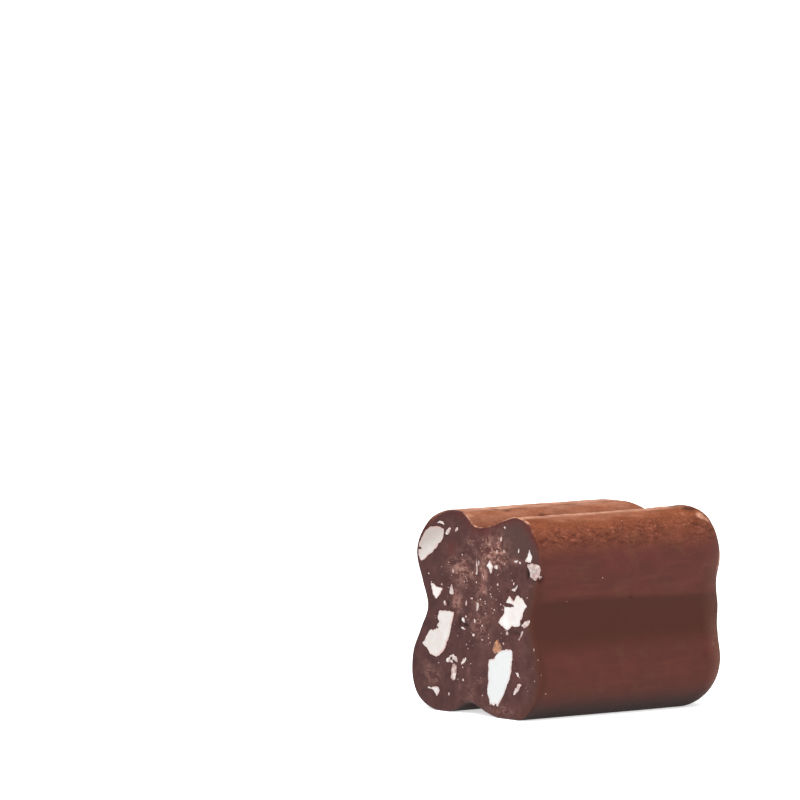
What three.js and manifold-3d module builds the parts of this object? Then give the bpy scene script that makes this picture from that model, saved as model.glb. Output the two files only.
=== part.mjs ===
// A chocolate truffle, cut open at one end.
//
// A soft bar of nut paste and dark chocolate is pressed through a four-lobed die, so its section is four round
// lobes with a shallow crease between each two. One end keeps its rounded finish. The other end has been sliced
// off flat, and the slice shows pieces of blanched hazelnut set in the paste.
//
// Millimetres. +X runs along the bar from the cut face to the rounded end, +Z is up, and -Y is the near side.
// The origin is in the middle of the bar's footprint, on the surface that it rests on.

import * as THREE from "three";
import { mergeVertices } from "three/addons/utils/BufferGeometryUtils.js";
import Module from "manifold-3d";

const wasm = await Module();
wasm.setup();

// Driving sizes of the bar.
const LENGTH = 27.7;
const WIDTH = 22.2;
const HEIGHT = 22.1;
const CUT_X = -LENGTH / 2;
const SECTION_CENTRE = { y: 0, z: HEIGHT / 2 };

// The far end's rounding, along the bar and into the section, and how far its middle bulges.
const END_ROUND_LENGTH = 4.3;
const END_ROUND_INSET = 3.6;
const END_BULGE = 0.3;
// Beside the near crease the far end's corner is fuller: its rounding reaches in by this much less, about this
// angle seen from the section's centre.
const CORNER_FULLER = 2.3;
const CORNER_ANGLE = THREE.MathUtils.degToRad(181);
const CORNER_SPREAD = THREE.MathUtils.degToRad(18);

// The knife leaves a crisp edge. On the far top lobe the slice just missed the old rounded end, so the edge is
// rounder about that angle, seen from the section's centre.
const CUT_EDGE_ROUND = 0.35;
const OLD_ROUND_INSET = 1.0;
const OLD_ROUND_LENGTH = 2.6;
const OLD_ROUND_ANGLE = THREE.MathUtils.degToRad(46);
const OLD_ROUND_SPREAD = THREE.MathUtils.degToRad(13);

// The bar has settled by this much, which leaves a narrow flat under each bottom lobe.
const SETTLE = 0.12;
// Over the last stretch all but the near crease get shallower, and the near top lobe stands a little higher.
const FADE_LENGTH = 11;
const NEAR_TOP_RISE = 0.25;

// The section's outline by lobe, from the top crease over the far side and back over the near side.
// Each point is [across, up]: across in halves of WIDTH, up in parts of HEIGHT.
const FAR_TOP_LOBE = [[0.225, 0.995], [0.38, 1.0], [0.62, 0.995], [0.82, 0.962], [0.945, 0.882], [0.965, 0.785],
  [0.855, 0.64]];
const FAR_BOTTOM_LOBE = [[0.885, 0.405], [1.0, 0.29], [1.02, 0.165], [0.935, 0.07], [0.72, 0.013], [0.5, 0.003],
  [0.35, 0.02]];
const NEAR_BOTTOM_LOBE = [[-0.14, 0.025], [-0.4, 0.001], [-0.68, 0.012], [-0.905, 0.09], [-0.995, 0.2],
  [-0.955, 0.32]];
const NEAR_TOP_LOBE = [[-0.925, 0.63], [-1.0, 0.78], [-0.945, 0.885], [-0.8, 0.972], [-0.62, 1.0], [-0.44, 0.982]];
// The deepest point of each crease, and how far it has moved out, as [y, z] millimetres, at the rounded end.
const FAR_CREASE = { at: [0.775, 0.515], fade: [0.7, 0] };
const BOTTOM_CREASE = { at: [0.115, 0.066], fade: [0, -0.7] };
const NEAR_CREASE = { at: [-0.868, 0.48], fade: [0, 0] };
const TOP_CREASE = { at: [0.03, 0.934], fade: [0, 0.75] };
// The top crease is wide, so its near side takes a point of its own.
const TOP_CREASE_SIDE = { at: [-0.24, 0.948], fade: [0, 0.6] };

// Mesh fineness.
const OUTLINE_STEPS = 104;
const CUT_EDGE_STEPS = 4;
const BAR_STEPS = 9;
const END_ROUND_STEPS = 9;
const BULGE_STEPS = 3;

// Nut pieces that the knife went through: how deep they reach, and their outline on the cut face as [y, z].
const NUT_PROUD = 0.15;
const NUT_CHAMFER = 0.12;
const NUT_TAPER = 0.3;
const POCKET_GAP = 0.3;
const NUT_PIECES = [
  {
    // a whole half kernel in the far top lobe
    name: "nut_far_top",
    depth: 2.2,
    outline: [[9.65, 17.6], [9.35, 18.5], [8.6, 19.4], [7.8, 20.0], [6.6, 20.15], [5.7, 20.0], [5.6, 19.5],
      [5.9, 18.9], [6.6, 18.2], [7.5, 17.5], [8.5, 16.95], [9.3, 16.5], [9.6, 16.9]],
  },
  {
    // a broken kernel, stepped on its far side
    name: "nut_far_low",
    depth: 2.6,
    outline: [[6.1, 11.1], [6.6, 10.4], [6.5, 9.7], [6.95, 9.0], [8.0, 8.75], [8.6, 8.0], [9.1, 7.3], [8.2, 6.5],
      [7.5, 6.0], [6.8, 6.0], [6.0, 6.35], [5.3, 7.1], [4.8, 8.0], [4.4, 9.2], [4.05, 10.2], [3.85, 11.1]],
  },
  {
    // a crumbled piece, notched at the top
    name: "nut_near_mid",
    depth: 2.2,
    outline: [[-3.95, 10.6], [-4.7, 11.3], [-5.1, 12.2], [-5.3, 13.1], [-5.85, 13.45], [-6.5, 13.05],
      [-7.1, 13.65], [-7.9, 13.45], [-8.65, 12.65], [-8.1, 11.85], [-7.9, 10.9], [-7.35, 10.2], [-6.4, 10.2],
      [-5.5, 9.8], [-4.6, 10.1]],
  },
  {
    // the largest piece, a long slab
    name: "nut_near_low",
    depth: 2.8,
    outline: [[-2.25, 6.3], [-3.25, 6.5], [-3.8, 7.0], [-4.4, 7.5], [-5.4, 7.6], [-6.15, 7.6], [-6.4, 7.2],
      [-6.25, 6.0], [-6.0, 4.8], [-5.4, 3.6], [-4.7, 2.5], [-3.9, 1.45], [-2.8, 1.4], [-2.2, 2.0], [-2.05, 2.9],
      [-2.3, 4.2]],
  },
];

// Smaller bits, fused to the paste that they stick out of: [y, z, length, width, tilt in degrees from +Y].
const BIT_PROUD = 0.2;
const BIT_ROOT = 0.5;
const BIT_SIDES = 8;
const BIT_UNEVEN = 0.3;
const BITS = [
  [6.75, 13.2, 2.0, 1.5, -20],
  [-9.1, 17.9, 1.4, 0.9, 80],
  [4.15, 5.85, 2.0, 0.8, -10],
  [3.85, 4.5, 1.8, 0.85, 90],
  [7.3, 2.2, 1.9, 0.8, 5],
  [-2.5, 16.4, 1.5, 1.0, 75],
  [-3.6, 16.5, 0.7, 0.55, 0],
  [4.6, 19.9, 1.15, 0.5, -62],
  [6.2, 20.85, 1.25, 0.42, -5],
  [3.3, 20.15, 0.8, 0.45, 20],
  [4.2, 13.5, 1.3, 0.7, 80],
  [5.35, 12.1, 0.9, 0.6, 40],
  [1.65, 12.2, 0.85, 0.45, 90],
  [-0.2, 11.95, 1.1, 0.5, 100],
  [2.15, 10.35, 0.85, 0.6, 0],
  [2.2, 9.35, 0.8, 0.4, 15],
  [0.25, 10.4, 0.75, 0.4, 80],
  [-6.7, 14.65, 1.0, 0.5, 35],
  [-8.95, 10.6, 1.2, 0.5, 35],
  [-0.15, 16.3, 1.9, 0.35, 90],
  [-7.25, 5.1, 0.9, 0.5, -45],
  [-7.25, 3.5, 1.6, 0.55, 45],
  [2.1, 5.8, 1.2, 0.5, -40],
  [-3.7, 8.1, 1.7, 0.8, 10],
  [-4.45, 19.6, 0.75, 0.4, 90],
  [-7.4, 18.6, 0.8, 0.35, 100],
];
// One bit sits on the near edge of the cut, and shows on the side as well.
const EDGE_BIT = { x: CUT_X + 0.6, y: -10.1, z: 16.35, across: 1.05, up: 0.9 };

// The colours of the two materials.
const CHOCOLATE = { color: "#6b4038", roughness: 0.6, metalness: 0 };
const HAZELNUT = { color: "#efe6dc", roughness: 0.5, metalness: 0 };

// A closed mesh as a solid for cutting and joining. A triangle with two equal corners, at a pole, is dropped.
function solidOf(geometry) {
  geometry.deleteAttribute("normal");
  geometry.deleteAttribute("uv");
  const merged = mergeVertices(geometry, 1e-4);
  const corners = merged.index.array;
  const kept = [];
  for (let i = 0; i < corners.length; i += 3) {
    const [a, b, c] = corners.slice(i, i + 3);
    if (a !== b && b !== c && c !== a) {
      kept.push(a, b, c);
    }
  }
  return new wasm.Manifold(new wasm.Mesh({
    numProp: 3,
    vertProperties: new Float32Array(merged.attributes.position.array),
    triVerts: new Uint32Array(kept),
  }));
}

// The finished solid as a named mesh.
function meshOf(name, solid, finish) {
  const { vertProperties, triVerts } = solid.getMesh();
  const geometry = new THREE.BufferGeometry();
  geometry.setAttribute("position", new THREE.BufferAttribute(new Float32Array(vertProperties), 3));
  geometry.setIndex(new THREE.BufferAttribute(new Uint32Array(triVerts), 1));
  geometry.computeVertexNormals();
  const mesh = new THREE.Mesh(geometry, new THREE.MeshStandardMaterial(finish));
  mesh.name = name;
  return mesh;
}

// A repeatable run of numbers from 0 to 1.
function numbersFrom(seed) {
  let state = seed;
  return () => {
    state = (state * 48271) % 2147483647;
    return state / 2147483647;
  };
}

// The bar's outline at a place along it: OUTLINE_STEPS points, evenly spaced round a smooth closed curve.
function outlineAt(x) {
  const share = THREE.MathUtils.smoothstep(x, LENGTH / 2 - FADE_LENGTH, LENGTH / 2);
  const place = ([across, up]) => {
    return new THREE.Vector3(x, across * WIDTH / 2, up * (HEIGHT + SETTLE) - SETTLE);
  };
  const crease = ({ at, fade }) => place(at).addScaledVector(new THREE.Vector3(0, fade[0], fade[1]), share);
  const risen = (point) => place(point).add(new THREE.Vector3(0, 0, NEAR_TOP_RISE * share));
  const points = [
    ...FAR_TOP_LOBE.map(place), crease(FAR_CREASE),
    ...FAR_BOTTOM_LOBE.map(place), crease(BOTTOM_CREASE),
    ...NEAR_BOTTOM_LOBE.map(place), crease(NEAR_CREASE),
    ...NEAR_TOP_LOBE.map(risen), crease(TOP_CREASE_SIDE), crease(TOP_CREASE),
  ];
  const curve = new THREE.CatmullRomCurve3(points.reverse(), true, "centripetal");
  return curve.getSpacedPoints(OUTLINE_STEPS).map((point) => point.setZ(Math.max(point.z, 0)));
}

// A point of the outline moved towards the section's centre: by a distance, then by a share of what is left.
function inwards(point, distance, share = 0) {
  const way = new THREE.Vector3(0, SECTION_CENTRE.y - point.y, SECTION_CENTRE.z - point.z);
  const near = distance / way.length();
  return point.clone().addScaledVector(way, near + (1 - near) * share);
}

// The angle of a point seen from the section's centre, from 0 to a full turn.
function angleOf(point) {
  const angle = Math.atan2(point.z - SECTION_CENTRE.z, point.y - SECTION_CENTRE.y);
  return (angle + 2 * Math.PI) % (2 * Math.PI);
}

// How far the cut edge's rounding reaches into the section and along the bar, at a point of the outline.
function cutEdgeAt(point) {
  const away = (angleOf(point) - OLD_ROUND_ANGLE) / OLD_ROUND_SPREAD;
  return {
    inset: CUT_EDGE_ROUND + OLD_ROUND_INSET * Math.exp(-away * away),
    length: CUT_EDGE_ROUND + OLD_ROUND_LENGTH * Math.exp(-away * away / 2),
  };
}

// How far the far end's rounding reaches into the section at a point of the outline.
function endInsetAt(point) {
  const away = (angleOf(point) - CORNER_ANGLE) / CORNER_SPREAD;
  return END_ROUND_INSET - CORNER_FULLER * Math.exp(-away * away);
}

// The skin as rings of points, from the middle of the cut face to the middle of the rounded end.
function skinRings() {
  const quarter = Math.PI / 2;
  const cutOutline = outlineAt(CUT_X);
  const rings = [cutOutline.map((point) => inwards(point, 0, 1))];
  for (let i = 0; i <= CUT_EDGE_STEPS; i++) {
    const turn = quarter * i / CUT_EDGE_STEPS;
    rings.push(cutOutline.map((point) => {
      const { inset, length } = cutEdgeAt(point);
      return inwards(point, inset * (1 - Math.sin(turn))).setX(CUT_X + length * (1 - Math.cos(turn)));
    }));
  }
  const barStart = CUT_X + CUT_EDGE_ROUND + OLD_ROUND_LENGTH;
  const barEnd = LENGTH / 2 - END_BULGE - END_ROUND_LENGTH;
  for (let i = 1; i <= BAR_STEPS; i++) {
    rings.push(outlineAt(THREE.MathUtils.lerp(barStart, barEnd, i / BAR_STEPS)));
  }
  for (let i = 1; i <= END_ROUND_STEPS; i++) {
    const turn = quarter * i / END_ROUND_STEPS;
    rings.push(outlineAt(barEnd + END_ROUND_LENGTH * Math.sin(turn)).map((point) => {
      return inwards(point, endInsetAt(point) * (1 - Math.cos(turn)));
    }));
  }
  const endOutline = outlineAt(LENGTH / 2 - END_BULGE);
  for (let i = 1; i <= BULGE_STEPS; i++) {
    const share = i / BULGE_STEPS;
    const bulge = END_BULGE * (1 - (1 - share) ** 2);
    rings.push(endOutline.map((point) => inwards(point, endInsetAt(point), share).setX(point.x + bulge)));
  }
  return rings;
}

// The bar without its nuts: a lathe turned about the X axis, each point of which goes to its place on the skin.
function bar() {
  const rings = skinRings();
  const profile = rings.map((ring, i) => new THREE.Vector2(1, i));
  const geometry = new THREE.LatheGeometry(profile, OUTLINE_STEPS);
  const position = geometry.attributes.position;
  for (let i = 0; i < position.count; i++) {
    const point = rings[i % rings.length][Math.floor(i / rings.length)];
    position.setXYZ(i, point.x, point.y, point.z);
  }
  return solidOf(geometry);
}

// An outline of [y, z] points moved outwards by a distance, or inwards where that is negative.
function grown(outline, distance) {
  const points = outline.map(([y, z]) => new THREE.Vector2(y, z));
  const sign = THREE.ShapeUtils.isClockWise(points) ? -1 : 1;
  return points.map((point, i) => {
    const before = point.clone().sub(points.at(i - 1)).normalize();
    const after = points[(i + 1) % points.length].clone().sub(point).normalize();
    const out = new THREE.Vector2(before.y + after.y, -before.x - after.x).normalize();
    return point.clone().addScaledVector(out, sign * distance);
  });
}

// A closed solid through outlines that have the same points: layers are { x, outline }, from -X to +X.
function layered(layers) {
  const first = layers[0].outline;
  const shape = new THREE.Shape(first);
  const geometry = new THREE.ExtrudeGeometry(shape, {
    depth: layers.length - 1,
    steps: layers.length - 1,
    bevelEnabled: false,
  });
  const position = geometry.attributes.position;
  for (let i = 0; i < position.count; i++) {
    const corner = new THREE.Vector2(position.getX(i), position.getY(i));
    const index = first.findIndex((point) => point.distanceTo(corner) < 1e-4);
    const { x, outline } = layers[Math.round(position.getZ(i))];
    position.setXYZ(i, x, outline[index].x, outline[index].y);
  }
  return solidOf(geometry);
}

// The inner end of a nut piece: its outline drawn in towards its own middle.
function tapered(points) {
  const middle = points.reduce((sum, point) => sum.add(point), new THREE.Vector2()).divideScalar(points.length);
  return points.map((point) => point.clone().lerp(middle, NUT_TAPER));
}

// A nut piece with its cut edge slightly worn.
function nutPiece({ depth, outline }) {
  const front = CUT_X - NUT_PROUD;
  return layered([
    { x: front, outline: grown(outline, -NUT_CHAMFER) },
    { x: front + NUT_CHAMFER, outline: grown(outline, 0) },
    { x: CUT_X + depth / 2, outline: grown(outline, 0) },
    { x: CUT_X + depth, outline: tapered(grown(outline, 0)) },
  ]);
}

// The hollow that a nut piece sits in.
function pocket({ depth, outline }) {
  const mouth = CUT_X - 1;
  const roomy = grown(outline, POCKET_GAP);
  return layered([
    { x: mouth, outline: roomy },
    { x: CUT_X + depth / 2 + POCKET_GAP, outline: roomy },
    { x: CUT_X + depth + POCKET_GAP, outline: tapered(roomy) },
  ]);
}

// A small bit: a flat, uneven crumb with a root in the paste. `random` gives the run of numbers for its corners.
function bit([y, z, length, width, tilt], random) {
  const height = BIT_PROUD + BIT_ROOT;
  const geometry = new THREE.CylinderGeometry(0.4, 0.5, height, BIT_SIDES);
  const uneven = Array.from({ length: BIT_SIDES }, () => 1 - BIT_UNEVEN * random());
  const position = geometry.attributes.position;
  for (let i = 0; i < position.count; i++) {
    const turn = Math.atan2(position.getX(i), position.getZ(i)) / (2 * Math.PI) * BIT_SIDES;
    const scale = uneven[(Math.round(turn) + BIT_SIDES) % BIT_SIDES];
    position.setXYZ(i, position.getX(i) * scale * length, position.getY(i), position.getZ(i) * scale * width);
  }
  geometry.rotateZ(Math.PI / 2);
  geometry.rotateX(THREE.MathUtils.degToRad(tilt - 90));
  geometry.translate(CUT_X - BIT_PROUD + height / 2, y, z);
  return solidOf(geometry);
}

// The bit on the cut's near edge.
function edgeBit() {
  const geometry = new THREE.DodecahedronGeometry(1);
  geometry.scale(EDGE_BIT.up, EDGE_BIT.across, EDGE_BIT.up);
  geometry.rotateX(0.4);
  geometry.translate(EDGE_BIT.x, EDGE_BIT.y, EDGE_BIT.z);
  return solidOf(geometry);
}

function trufflePaste() {
  const random = numbersFrom(7);
  let solid = bar();
  for (const piece of NUT_PIECES) {
    solid = solid.subtract(pocket(piece));
  }
  for (const row of BITS) {
    solid = solid.add(bit(row, random));
  }
  return solid.add(edgeBit());
}

const truffle = new THREE.Group();
truffle.name = "chocolate_truffle";
truffle.add(meshOf("truffle_paste", trufflePaste(), CHOCOLATE));
for (const piece of NUT_PIECES) {
  truffle.add(meshOf(piece.name, nutPiece(piece), HAZELNUT));
}

export default truffle;
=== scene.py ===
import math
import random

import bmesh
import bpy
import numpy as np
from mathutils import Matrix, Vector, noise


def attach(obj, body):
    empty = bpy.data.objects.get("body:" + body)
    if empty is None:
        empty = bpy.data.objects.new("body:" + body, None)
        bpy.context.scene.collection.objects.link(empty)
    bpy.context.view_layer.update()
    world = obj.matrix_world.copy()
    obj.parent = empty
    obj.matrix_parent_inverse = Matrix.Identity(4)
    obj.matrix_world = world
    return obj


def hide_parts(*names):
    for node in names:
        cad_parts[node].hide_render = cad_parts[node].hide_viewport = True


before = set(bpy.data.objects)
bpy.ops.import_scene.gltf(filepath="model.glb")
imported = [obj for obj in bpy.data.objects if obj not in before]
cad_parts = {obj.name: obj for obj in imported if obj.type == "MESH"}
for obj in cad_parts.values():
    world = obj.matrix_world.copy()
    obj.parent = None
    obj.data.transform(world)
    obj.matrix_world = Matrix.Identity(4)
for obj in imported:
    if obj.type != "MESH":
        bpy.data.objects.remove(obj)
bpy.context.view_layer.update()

# A chocolate truffle lying on its side, cut open at one end.
#
# The bar is one closed mesh with two finishes: the skin that the die and the cocoa left, and the face that
# the knife left. Pieces of hazelnut are set in the face. Cocoa grains and nut flecks are scattered over it.
# Sizes are in millimetres until a mesh is made. The cut face is at -X, the rounded end at +X, the near side
# at -Y.

MM = 0.001

# Driving sizes of the bar, as in its solids.
LENGTH = 27.7
WIDTH = 22.2
HEIGHT = 22.1
CUT_X = -LENGTH / 2
CENTRE_Z = HEIGHT / 2
# The far end's rounding, along the bar and into the section, how far its middle bulges, and how much less
# the rounding reaches in beside the near crease, about which angle from the section's centre.
END_ROUND_LENGTH = 4.3
END_ROUND_INSET = 3.6
END_BULGE = 0.3
CORNER_FULLER = 2.3
CORNER_ANGLE = math.radians(181)
CORNER_SPREAD = math.radians(18)
# The knife's crisp edge. It is rounder on the far top lobe, where the slice just missed the old rounded end
# and that end's skin is left.
CUT_EDGE_ROUND = 0.35
OLD_ROUND_INSET = 1.0
OLD_ROUND_LENGTH = 2.6
OLD_ROUND_ANGLE = math.radians(46)
OLD_ROUND_SPREAD = math.radians(13)
OLD_SKIN_ANGLE = math.radians(47)
OLD_SKIN_SPREAD = math.radians(18)
# How far the bar has settled into its flats, over what length its section changes towards the rounded end,
# and how far the near top lobe has risen there.
SETTLE = 0.12
FADE_LENGTH = 11
NEAR_TOP_RISE = 0.25

# The section's outline from the top crease over the far side, as [across, up] in halves of WIDTH and in
# parts of HEIGHT.
FAR_TOP_LOBE = [(0.225, 0.995), (0.38, 1.0), (0.62, 0.995), (0.82, 0.962), (0.945, 0.882), (0.965, 0.785),
                (0.855, 0.64)]
FAR_BOTTOM_LOBE = [(0.885, 0.405), (1.0, 0.29), (1.02, 0.165), (0.935, 0.07), (0.72, 0.013), (0.5, 0.003),
                   (0.35, 0.02)]
NEAR_BOTTOM_LOBE = [(-0.14, 0.025), (-0.4, 0.001), (-0.68, 0.012), (-0.905, 0.09), (-0.995, 0.2),
                    (-0.955, 0.32)]
NEAR_TOP_LOBE = [(-0.925, 0.63), (-1.0, 0.78), (-0.945, 0.885), (-0.8, 0.972), (-0.62, 1.0), (-0.44, 0.982)]
# The deepest point of each crease, and how far it has moved out, in millimetres, at the rounded end.
FAR_CREASE = ((0.775, 0.515), (0.7, 0.0))
BOTTOM_CREASE = ((0.115, 0.066), (0.0, -0.7))
NEAR_CREASE = ((-0.868, 0.48), (0.0, 0.0))
TOP_CREASE = ((0.03, 0.934), (0.0, 0.75))
# The top crease is wide, so its near side takes a point of its own.
TOP_CREASE_SIDE = ((-0.24, 0.948), (0.0, 0.6))

# Fineness of the bar's mesh: points round it, and rings on each stretch of it.
ROUND = 400
FACE_RINGS = 56
EDGE_RINGS = 7
BAR_RINGS = 112
END_RINGS = 28
BULGE_RINGS = 24
CURVE_STEPS = 24


# Shapes

def smooth(value, low, high):
    """0 below low, 1 above high, and an S-curve between."""
    t = np.clip((value - low) / (high - low), 0, 1)
    return t * t * (3 - 2 * t)


def smooth_loop(points, count):
    """`count` evenly spaced points on the smooth closed curve through the points."""
    p = np.array(points, float)
    before, after, next_after = np.roll(p, 1, 0), np.roll(p, -1, 0), np.roll(p, -2, 0)
    step = np.sqrt(np.linalg.norm(after - p, axis=1))[:, None]
    step_before, step_after = np.roll(step, 1, 0), np.roll(step, -1, 0)
    leave = (p - before) / step_before - (after - before) / (step_before + step) + (after - p) / step
    leave = step * leave
    reach = (after - p) / step - (next_after - p) / (step + step_after) + (next_after - after) / step_after
    reach = step * reach
    t = np.linspace(0, 1, CURVE_STEPS, endpoint=False)[None, :, None]
    p, after, leave, reach = p[:, None], after[:, None], leave[:, None], reach[:, None]
    curve = p + leave * t + (3 * (after - p) - 2 * leave - reach) * t ** 2
    curve = curve + (2 * (p - after) + leave + reach) * t ** 3
    return even_loop(curve.reshape(-1, 2), count)


def even_loop(points, count):
    """`count` evenly spaced points on the closed polygon through the points."""
    closed = np.vstack([points, points[:1]])
    along = np.r_[0, np.cumsum(np.linalg.norm(np.diff(closed, axis=0), axis=1))]
    where = np.linspace(0, along[-1], count, endpoint=False)
    return np.stack([np.interp(where, along, closed[:, i]) for i in (0, 1)], 1)


def section(fade):
    """The bar's outline as [y, z] points: fade is 0 at the cut and 1 at the rounded end."""
    def place(points):
        return [(across * WIDTH / 2, up * (HEIGHT + SETTLE) - SETTLE) for across, up in points]

    def crease(point, moved):
        (y, z), = place([point])
        return [(y + moved[0] * fade, z + moved[1] * fade)]

    risen = [(y, z + NEAR_TOP_RISE * fade) for y, z in place(NEAR_TOP_LOBE)]
    points = (place(FAR_TOP_LOBE) + crease(*FAR_CREASE) + place(FAR_BOTTOM_LOBE) + crease(*BOTTOM_CREASE)
              + place(NEAR_BOTTOM_LOBE) + crease(*NEAR_CREASE) + risen + crease(*TOP_CREASE_SIDE)
              + crease(*TOP_CREASE))
    outline = smooth_loop(points[::-1], ROUND)
    outline[:, 1] = np.maximum(outline[:, 1], 0)
    return outline


SECTION_AT_CUT = section(0)
SECTION_AT_END = section(1)


def section_at(x):
    """The bar's outline at a place along it, as [y, z] points."""
    fade = smooth(x, LENGTH / 2 - FADE_LENGTH, LENGTH / 2)
    return SECTION_AT_CUT + (SECTION_AT_END - SECTION_AT_CUT) * fade


def inwards(outline, distance, share=0):
    """An outline moved towards the section's centre: by a distance, then by a share of what is left."""
    way = np.array([0, CENTRE_Z]) - outline
    near = np.asarray(distance) / np.linalg.norm(way, axis=1)
    return outline + way * (near + (1 - near) * share)[:, None]


def angles(outline):
    """The angle of each point of an outline seen from the section's centre, from 0 to a full turn."""
    return np.arctan2(outline[:, 1] - CENTRE_Z, outline[:, 0]) % math.tau


def end_inset(outline):
    """How far the far end's rounding reaches into the section at each point: less beside the near crease."""
    away = ((angles(outline) - CORNER_ANGLE) / CORNER_SPREAD) ** 2
    return END_ROUND_INSET - CORNER_FULLER * np.exp(-away)


def cut_edge(outline):
    """How far the cut edge's rounding reaches into the section and along the bar, at each point."""
    away = ((angles(outline) - OLD_ROUND_ANGLE) / OLD_ROUND_SPREAD) ** 2
    return (CUT_EDGE_ROUND + OLD_ROUND_INSET * np.exp(-away),
            CUT_EDGE_ROUND + OLD_ROUND_LENGTH * np.exp(-away / 2))


def ring(outline, x):
    """An outline of [y, z] points at one or more places along the bar, as [x, y, z] points."""
    return np.column_stack([np.broadcast_to(x, len(outline)), outline])


def bar_rings():
    """The bar's skin as rings of points, from near the cut face's middle to near the far end's middle."""
    inset, length = cut_edge(SECTION_AT_CUT)
    rings = []
    for i in range(1, FACE_RINGS):
        share = 1 - i / FACE_RINGS
        rings.append(ring(inwards(SECTION_AT_CUT, inset, share), CUT_X))
    for i in range(EDGE_RINGS + 1):
        turn = math.pi / 2 * i / EDGE_RINGS
        outline = inwards(SECTION_AT_CUT, inset * (1 - math.sin(turn)))
        rings.append(ring(outline, CUT_X + length * (1 - math.cos(turn))))
    bar_end = LENGTH / 2 - END_BULGE - END_ROUND_LENGTH
    for i in range(1, BAR_RINGS + 1):
        x = (CUT_X + length) + (bar_end - CUT_X - length) * i / BAR_RINGS
        rings.append(ring(section_at(x.mean()), x))
    for i in range(1, END_RINGS + 1):
        turn = math.pi / 2 * i / END_RINGS
        x = bar_end + END_ROUND_LENGTH * math.sin(turn)
        outline = section_at(x)
        rings.append(ring(inwards(outline, end_inset(outline) * (1 - math.cos(turn))), x))
    outline = section_at(LENGTH / 2 - END_BULGE)
    for i in range(1, BULGE_RINGS):
        share = i / BULGE_RINGS
        bulge = END_BULGE * (1 - (1 - share) ** 2)
        rings.append(ring(inwards(outline, end_inset(outline), share), LENGTH / 2 - END_BULGE + bulge))
    return np.array(rings)


def ring_normals(rings):
    """The outward normal at each point of a stack of rings."""
    round_it = np.roll(rings, -1, 1) - np.roll(rings, 1, 1)
    along = np.gradient(rings, axis=0)
    normal = np.cross(round_it, along)
    return normal / np.maximum(np.linalg.norm(normal, axis=2, keepdims=True), 1e-9)


def noise_at(points, size, seed=0, layers=1):
    """Smooth noise from -1 to 1 at each point. size is its grains' size, one number or one for each axis."""
    scaled = points.reshape(-1, 3) / np.asarray(size, float) + seed * 17.3
    if layers == 1:
        values = [noise.noise(Vector(p)) for p in scaled]
    else:
        values = [noise.fractal(Vector(p), 1.0, 2.0, layers) for p in scaled]
    return np.array(values).reshape(points.shape[:-1])


# Finishes

def colour(hex_value):
    """An sRGB hex value as a linear colour."""
    channels = [int(hex_value[i:i + 2], 16) / 255 for i in (1, 3, 5)]
    return tuple(c / 12.92 if c <= 0.04045 else ((c + 0.055) / 1.055) ** 2.4 for c in channels) + (1.0,)


def add(tree, kind, inputs=None, **settings):
    """Adds a node. settings are its properties, and inputs its sockets: a value, hex colour or output."""
    node = tree.nodes.new(kind)
    for name, value in settings.items():
        setattr(node, name, value)
    for key, value in (inputs or {}).items():
        if isinstance(value, bpy.types.NodeSocket):
            tree.links.new(value, node.inputs[key])
        elif isinstance(value, str) and value.startswith("#"):
            node.inputs[key].default_value = colour(value)
        else:
            node.inputs[key].default_value = value
    return node


def new_material(name):
    """An empty node material, its tree, and its place in millimetres on the object."""
    material = bpy.data.materials.new(name)
    material.use_nodes = True
    tree = material.node_tree
    tree.nodes.clear()
    place = add(tree, "ShaderNodeTexCoord").outputs["Object"]
    scaled = add(tree, "ShaderNodeVectorMath", {0: place, "Scale": 1 / MM}, operation="SCALE").outputs[0]
    return material, tree, scaled


def pattern(tree, place, size, detail=2.0, roughness=0.5, stretch=(1, 1, 1), distortion=0.0):
    """Noise from 0 to 1 with grains of about `size` millimetres, longer by `stretch` along each axis."""
    scale = [1 / (size * s) for s in stretch]
    shape = add(tree, "ShaderNodeVectorMath", {0: place, 1: scale}, operation="MULTIPLY").outputs[0]
    return add(tree, "ShaderNodeTexNoise", {
        "Vector": shape, "Scale": 1.0, "Detail": detail, "Roughness": roughness, "Distortion": distortion,
    }).outputs["Fac"]


def ramp(tree, value, low, high, steps="LINEAR"):
    """A value from 0 at low to 1 at high."""
    return add(tree, "ShaderNodeMapRange", {
        "Value": value, "From Min": low, "From Max": high,
    }, interpolation_type=steps).outputs["Result"]


def blend(tree, share, first, second):
    """Two colours mixed by a share."""
    sockets = {0: share, 6: first, 7: second}
    return add(tree, "ShaderNodeMix", sockets, data_type="RGBA").outputs[2]


def times(tree, first, second, operation="MULTIPLY"):
    """Two values multiplied, or put together by another operation."""
    return add(tree, "ShaderNodeMath", {0: first, 1: second}, operation=operation, use_clamp=True).outputs[0]


def attribute(tree, name):
    """A number stored on the mesh."""
    return add(tree, "ShaderNodeAttribute", attribute_name=name).outputs["Fac"]


def finish_material(tree, base, roughness, height=None, depth=0.1, **values):
    """Joins a colour, a roughness and a relief of so many millimetres to the surface."""
    inputs = {"Base Color": base, "Roughness": roughness}
    inputs.update(values)
    if height is not None:
        inputs["Normal"] = add(tree, "ShaderNodeBump", {
            "Strength": 1.0, "Distance": depth * MM, "Height": height,
        }).outputs["Normal"]
    shader = add(tree, "ShaderNodeBsdfPrincipled", inputs)
    add(tree, "ShaderNodeOutputMaterial", {"Surface": shader.outputs[0]})


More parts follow.
